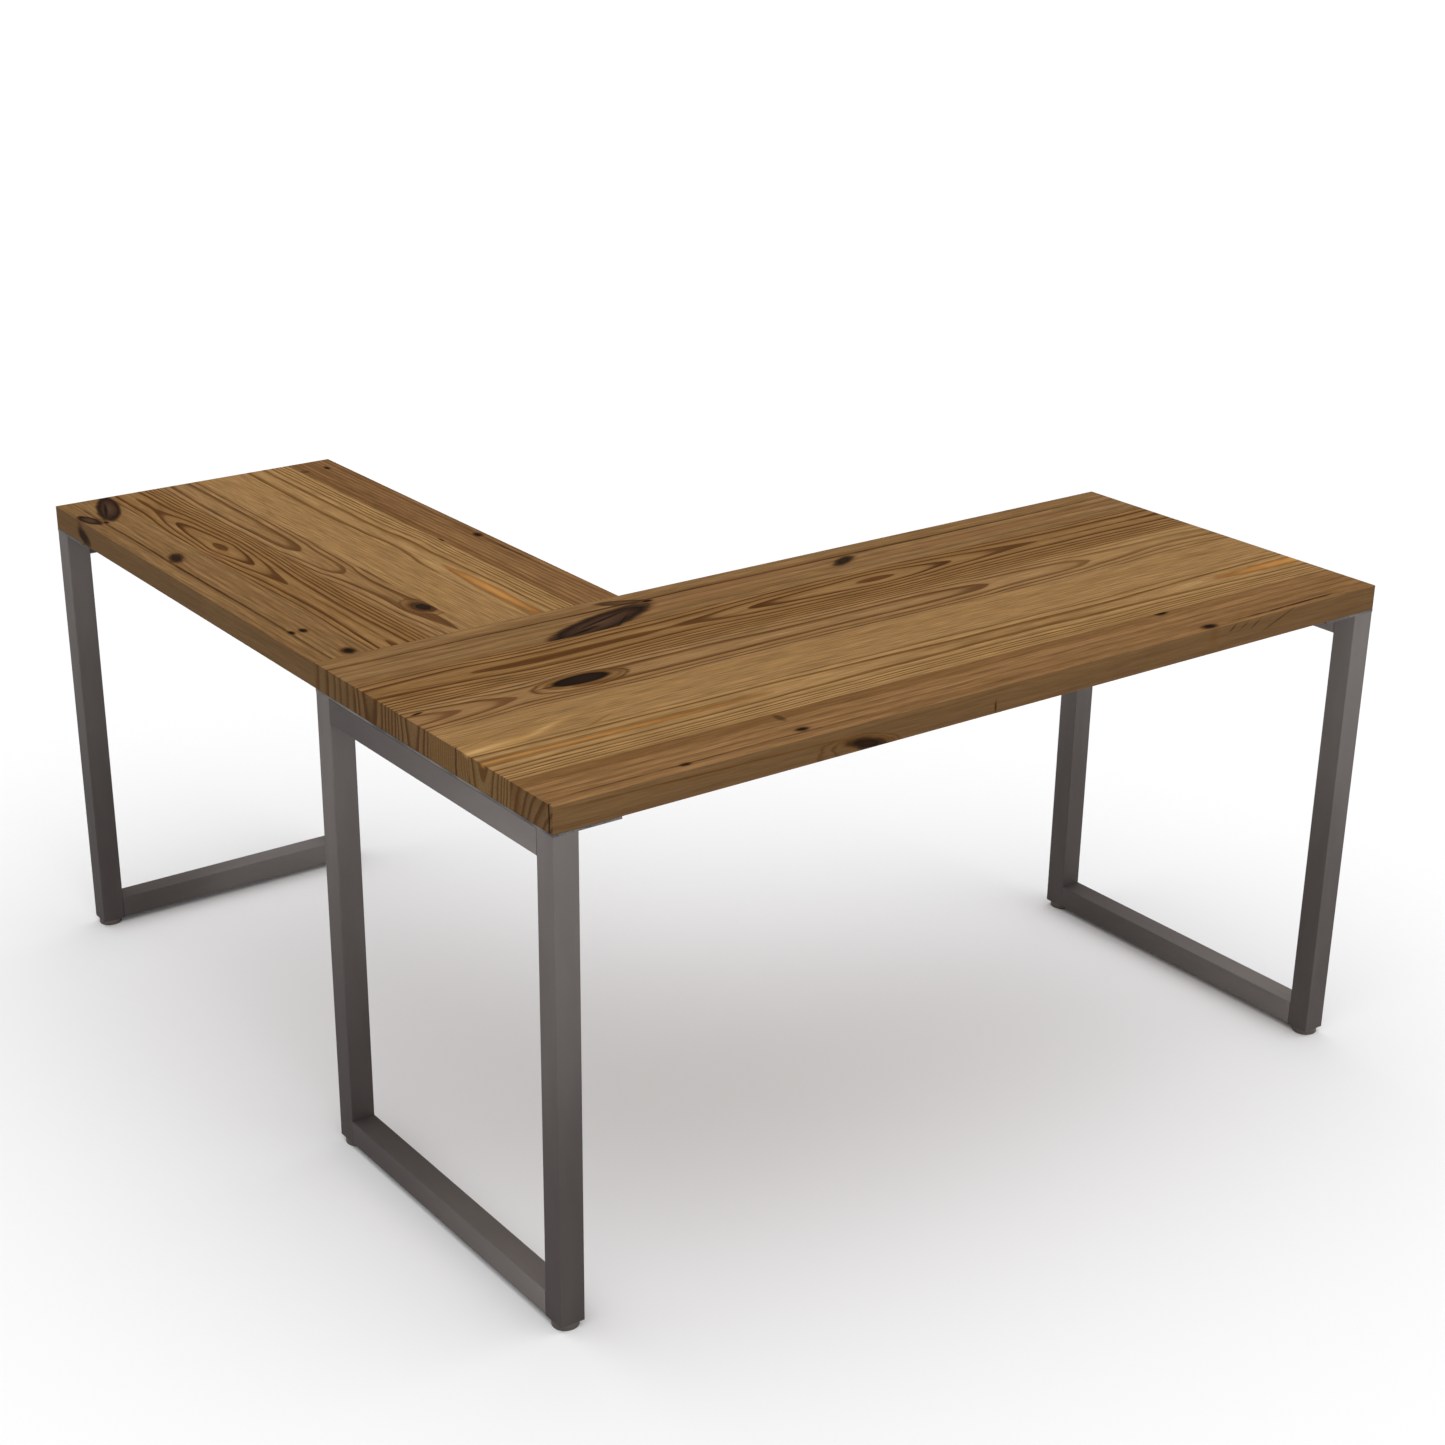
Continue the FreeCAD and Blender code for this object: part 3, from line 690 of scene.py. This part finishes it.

# each group of tubes: its axis, a tube whose length it shades over, its painted light level, which makes
# the group a lighter or darker copy of the same steel, and the painted shade from dark (0) to light (1) at
# places from 0 to 1 along it
tubeRuns = {
    "uprights": {
        "finish": "brushedSteelUpright", "axis": 2, "like": "left_front_leg", "tint": 1.0,
        "shade": [(0.0, 0.0), (0.3, 0.05), (0.5, 0.35), (0.75, 0.75), (1.0, 1.0)],
    },
    "rightUprights": {
        "finish": "brushedSteelRightUpright", "axis": 2, "like": "right_front_leg", "tint": 1.03,
        "shade": [(0.0, 0.1), (0.3, 0.15), (0.5, 0.35), (0.75, 0.75), (1.0, 1.0)],
    },
    "returnUprights": {
        "finish": "brushedSteelReturnUpright", "axis": 2, "like": "return_left_leg", "tint": 0.94,
        "shade": [(0.0, 0.0), (0.3, 0.1), (0.5, 0.35), (0.75, 0.7), (1.0, 1.0)],
    },
    "sideRails": {
        "finish": "brushedSteelSideRail", "axis": 1, "like": "left_frame_top_rail", "tint": 1.07,
        "shade": [(0.0, 1.0), (0.45, 0.5), (0.85, 0.05), (1.0, 0.0)],
    },
    "rightSideRails": {
        "finish": "brushedSteelRightSideRail", "axis": 1, "like": "right_frame_top_rail", "tint": 1.08,
        "shade": [(0.0, 1.0), (0.45, 0.5), (0.85, 0.05), (1.0, 0.0)],
    },
    "endRails": {
        "finish": "brushedSteelEndRail", "axis": 0, "like": "return_frame_top_rail", "tint": 1.0,
        "shade": [(0.0, 0.0), (0.25, 0.2), (0.6, 0.85), (1.0, 1.0)],
    },
}


def brushedSteel(run, look):
    # dark satin metal: streaks and slow clouds break the tone, and the brush lines blur what it mirrors
    material, tree = newMaterial(run["finish"])
    low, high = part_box(run["like"])
    axis = run["axis"]
    tint = run["tint"]
    coords = addNode(tree, "TexCoord")
    place = addNode(tree, "SeparateXYZ", {0: coords.outputs["Object"]})
    # painted shade: the tone runs from the dark steel to the light one along the tube, as the group's curve
    # gives
    along = addNode(tree, "MapRange", {0: place.outputs[axis], 1: low[axis], 2: high[axis]})
    shade = addNode(tree, "FloatCurve", {"Value": along})
    setCurve(shade, run["shade"])

    lineScale = [1000 / look["brushWidth"]] * 3
    lineScale[axis] = 1000 / look["brushLength"]
    lines = addNode(tree, "Mapping", {0: coords.outputs["Object"], "Scale": lineScale})
    brush = addNode(tree, "TexNoise", {"Vector": lines, "Scale": 1.0, "Detail": 3.0, "Roughness": 0.6})
    cloudScale = [1000 / look["cloudWidth"]] * 3
    cloudScale[axis] = 1000 / look["cloudLength"]
    cloudPlace = addNode(tree, "Mapping", {0: coords.outputs["Object"], "Scale": cloudScale})
    clouds = addNode(tree, "TexNoise", {"Vector": cloudPlace, "Scale": 1.0, "Detail": 4.0})

    # painted shade: the dark steel at the tube's shaded end, the light steel at its lit end
    color = addNode(tree, "MixRGB", {0: shade, 1: linearColor(look["dark"]), 2: linearColor(look["light"])})
    # the painted light level lifts or sinks the whole group's tone: a lit or shaded copy of the same steel
    for noise, contrast in ((brush, look["brushContrast"]), (clouds, look["cloudContrast"])):
        tone = addNode(tree, "MapRange", {0: noise, **noiseSpan, 3: tint - contrast, 4: tint + contrast})
        color = addNode(tree, "MixRGB", {0: 1.0, 1: color, 2: tone}, blend_type="MULTIPLY")
    spread = look["roughnessSpread"]
    gloss = addNode(tree, "MapRange", {0: brush, **noiseSpan, 3: look["roughness"] - spread,
                                       4: look["roughness"] + spread})
    bump = addNode(tree, "Bump", {"Height": brush, "Distance": look["brushDepth"], "Strength": 0.5})
    shader = addNode(tree, "BsdfPrincipled", {"Base Color": color, "Metallic": 1.0, "Roughness": gloss,
                                              "Normal": bump})
    addNode(tree, "OutputMaterial", {0: shader})
    return material


uprightRuns = {"left": "uprights", "right": "rightUprights", "return": "returnUprights"}
railRuns = {"left": "sideRails", "right": "rightSideRails", "return": "endRails"}
steelFinish = {key: brushedSteel(run, millSteel) for key, run in tubeRuns.items()}
for nodeName in nodes:
    side = nodeName.split("_")[0]
    if nodeName.endswith("_leg"):
        dress(nodeName, steelFinish[uprightRuns[side]])
    elif nodeName.endswith("_rail"):
        dress(nodeName, steelFinish[railRuns[side]])
print("frames brushed")


# flat bar: hot-rolled, so its face keeps a thin dark scale in soft clouds, with short roller streaks

flatBar = {
    "scale": "#5E5E60",
    "bare": "#7C7873",
    "cloudSize": 45.0,         # mm
    "streakLength": 120.0,     # mm
    "streakWidth": 3.0,        # mm
    "bareFrom": 0.6,           # noise above which the scale thins, and above which it is gone
    "bareWhole": 0.9,
    "roughness": 0.62,
    "roughnessSpread": 0.08,
    "relief": 0.00003,         # m
    "streaks": 0.5,            # how much the streaks add to the clouds
}


def rolledSteel(name, look, axis):
    # cloudy grey without the fine lines of the tubes, and a little glossier where the scale is gone
    material, tree = newMaterial(name)
    coords = addNode(tree, "TexCoord")
    cloudScale = [1000 / look["cloudSize"]] * 3
    cloudPlace = addNode(tree, "Mapping", {0: coords.outputs["Object"], "Scale": cloudScale})
    clouds = addNode(tree, "TexNoise", {"Vector": cloudPlace, "Scale": 1.0, "Detail": 5.0})
    streakScale = [1000 / look["streakWidth"]] * 3
    streakScale[axis] = 1000 / look["streakLength"]
    streakPlace = addNode(tree, "Mapping", {0: coords.outputs["Object"], "Scale": streakScale})
    streaks = addNode(tree, "TexNoise", {"Vector": streakPlace, "Scale": 1.0, "Detail": 2.0})
    mixed = addNode(tree, "Math", {0: streaks, 1: look["streaks"], 2: clouds}, operation="MULTIPLY_ADD")
    share = addNode(tree, "MapRange", {0: mixed, 1: look["bareFrom"], 2: look["bareWhole"]})
    color = addNode(tree, "MixRGB", {0: share, 1: linearColor(look["scale"]), 2: linearColor(look["bare"])})
    spread = look["roughnessSpread"]
    gloss = addNode(tree, "MapRange", {0: share, 3: look["roughness"] + spread,
                                       4: look["roughness"] - spread})
    bump = addNode(tree, "Bump", {"Height": mixed, "Distance": look["relief"], "Strength": 0.5})
    shader = addNode(tree, "BsdfPrincipled", {"Base Color": color, "Metallic": 1.0, "Roughness": gloss,
                                              "Normal": bump})
    addNode(tree, "OutputMaterial", {0: shader})
    return material


rolledAcross = rolledSteel("hotRolledSteelAcross", flatBar, 0)
rolledAlong = rolledSteel("hotRolledSteelAlong", flatBar, 1)
for nodeName in nodes:
    if nodeName.endswith("mounting_plate") or nodeName in ("joining_plate_1", "joining_plate_2"):
        dress(nodeName, rolledAcross if nodeName.startswith("return") else rolledAlong)


# small hardware: each finish is a tone, how much of a worn one lies over it, and the marks its making
# leaves. groove, across and grain are in mm, relief in m.

hardware = {
    # pads: lathe rings round the middle
    "turnedSteel": {"tone": "#57514D", "worn": "#77706A", "roughness": 0.5, "metallic": 1.0,
                    "groove": 0.9, "across": 38.1, "grain": 1.2, "relief": 0.00002},
    # studs: bright, slightly blue
    "zincPlatedSteel": {"tone": "#9EA3A8", "worn": "#C9CBCB", "roughness": 0.34, "metallic": 1.0,
                        "grain": 4.0, "relief": 0.00001},
    # screws: oily black, brown-grey where rubbed
    "blackOxideSteel": {"tone": "#1C1C1E", "worn": "#3A3936", "roughness": 0.42, "metallic": 1.0,
                        "grain": 2.0, "relief": 0.00001},
    # inserts: yellow, bright on high spots
    "turnedBrass": {"tone": "#B08A45", "worn": "#D9B86C", "roughness": 0.3, "metallic": 1.0,
                    "grain": 1.5, "relief": 0.00001},
    # plugs: black, fine sparked texture
    "mouldedNylon": {"tone": "#141414", "worn": "#242322", "roughness": 0.55, "metallic": 0.0,
                     "grain": 0.8, "relief": 0.00003},
}

# the same for all of them: noise at which wear begins and is whole, and how far the gloss follows it
wear = {"from": 0.35, "whole": 0.7, "roughnessSpread": 0.06}

# how much of a turned piece's relief is rings, and how much is grain
turned = {"rings": 0.7, "grain": 0.3}


def hardwareFinish(name, look):
    # a worn tone over the base one, and lathe rings where the piece was turned
    material, tree = newMaterial(name)
    coords = addNode(tree, "TexCoord")
    grainScale = [1000 / look["grain"]] * 3
    grainPlace = addNode(tree, "Mapping", {0: coords.outputs["Object"], "Scale": grainScale})
    grain = addNode(tree, "TexNoise", {"Vector": grainPlace, "Scale": 1.0, "Detail": 4.0})
    height = grain
    if "groove" in look:
        # the box of a turned piece is centred on its axis, so half way across it is the middle
        centred = addNode(tree, "VectorMath", {0: coords.outputs["Generated"], 1: (0.5, 0.5, 0)},
                          operation="SUBTRACT")
        flat = addNode(tree, "VectorMath", {0: centred, 1: (look["across"], look["across"], 0)},
                       operation="MULTIPLY")
        reach = addNode(tree, "VectorMath", {0: flat}, operation="LENGTH")
        rise = addNode(tree, "SeparateXYZ", {0: coords.outputs["Object"]})
        risen = addNode(tree, "Math", {0: rise.outputs["Z"], 1: 1000.0, 2: reach.outputs["Value"]},
                        operation="MULTIPLY_ADD")
        rings = addNode(tree, "TexNoise", {"W": risen, "Scale": 1 / look["groove"], "Detail": 2.0},
                        noise_dimensions="1D")
        grainPart = addNode(tree, "Math", {0: grain, 1: turned["grain"]}, operation="MULTIPLY")
        height = addNode(tree, "Math", {0: rings, 1: turned["rings"], 2: grainPart},
                         operation="MULTIPLY_ADD")
    share = addNode(tree, "MapRange", {0: height, 1: wear["from"], 2: wear["whole"]})
    color = addNode(tree, "MixRGB", {0: share, 1: linearColor(look["tone"]), 2: linearColor(look["worn"])})
    spread = wear["roughnessSpread"]
    gloss = addNode(tree, "MapRange", {0: share, 3: look["roughness"] + spread,
                                       4: look["roughness"] - spread})
    bump = addNode(tree, "Bump", {"Height": height, "Distance": look["relief"], "Strength": 0.6})
    shader = addNode(tree, "BsdfPrincipled", {"Base Color": color, "Metallic": look["metallic"],
                                              "Roughness": gloss, "Normal": bump})
    addNode(tree, "OutputMaterial", {0: shader})
    return material


finishes = {name: hardwareFinish(name, look) for name, look in hardware.items()}
finishOf = {"foot_pad": "turnedSteel", "foot_stud": "zincPlatedSteel", "screws": "blackOxideSteel",
            "inserts": "turnedBrass", "leg_plug": "mouldedNylon"}
for nodeName in nodes:
    for ending, finish in finishOf.items():
        if nodeName.endswith(ending):
            dress(nodeName, finishes[finish])

# the studs' real M8 thread, cut as one helix between the node's own ends

thread = {
    "pitch": 0.00125,          # m
    "depth": 0.00077,          # m
    "stepsRound": 24,
    "tipChamfer": 0.0008,      # m
    # where crest and root begin and end, as shares of one pitch
    "crest": (0.0, 0.125),
    "root": (0.4375, 0.6875),
    "sharpFrom": 30,           # degrees between two faces that meet in a visible edge
    "weld": 1e-7,              # m, points nearer than this are one
}


def threadedStud(nodeName, look, material):
    # rows of points follow the corners of the thread, one turn each, and the next turn closes on them
    low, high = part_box(nodeName)
    center = (low + high) / 2
    outer = (high.x - low.x) / 2
    inner = outer - look["depth"]
    corners = [(share, outer) for share in look["crest"]] + [(share, inner) for share in look["root"]]
    steps = look["stepsRound"]
    turns = math.ceil((high.z - low.z) / look["pitch"])
    mesh = bmesh.new()
    rows = []
    for turn in range(-2, turns + 3):
        for share, reach in corners:
            row = []
            for step in range(steps):
                angle = 2 * math.pi * step / steps
                z = low.z + look["pitch"] * (turn + share + step / steps)
                # beyond either end the helix folds into the flat end at its root
                radius = reach if low.z < z < high.z else inner
                z = min(max(z, low.z), high.z)
                radius = min(radius, outer - look["tipChamfer"] + high.z - z)
                x = center.x + radius * math.cos(angle)
                y = center.y + radius * math.sin(angle)
                row.append(mesh.verts.new((x, y, z)))
            rows.append(row)
    lead = len(corners)        # one step past a full turn meets the same corner of the next turn
    for i in range(len(rows) - lead - 1):
        for step in range(steps):
            if step < steps - 1:
                near, far = (i, step + 1), (i + 1, step + 1)
            else:
                near, far = (i + lead, 0), (i + lead + 1, 0)
            mesh.faces.new((rows[i][step], rows[near[0]][near[1]], rows[far[0]][far[1]], rows[i + 1][step]))
    bmesh.ops.remove_doubles(mesh, verts=mesh.verts, dist=look["weld"])
    bmesh.ops.dissolve_degenerate(mesh, edges=mesh.edges, dist=look["weld"])
    loose = [vertex for vertex in mesh.verts if not vertex.link_faces]
    bmesh.ops.delete(mesh, geom=loose, context="VERTS")
    bmesh.ops.holes_fill(mesh, edges=[edge for edge in mesh.edges if edge.is_boundary])
    bmesh.ops.recalc_face_normals(mesh, faces=mesh.faces)
    pieceName = nodeName + "_threaded"
    shape = bpy.data.meshes.new(pieceName)
    mesh.to_mesh(shape)
    mesh.free()
    for face in shape.polygons:
        face.use_smooth = True
    shape.set_sharp_from_angle(angle=math.radians(look["sharpFrom"]))
    shape.materials.append(material)
    piece = bpy.data.objects.new(pieceName, shape)
    bpy.context.scene.collection.objects.link(piece)
    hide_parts(nodeName)
    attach(piece, nodeName.replace("_stud", ""))


for nodeName in nodes:
    if nodeName.endswith("foot_stud"):
        threadedStud(nodeName, thread, finishes["zincPlatedSteel"])
print("hardware finished")
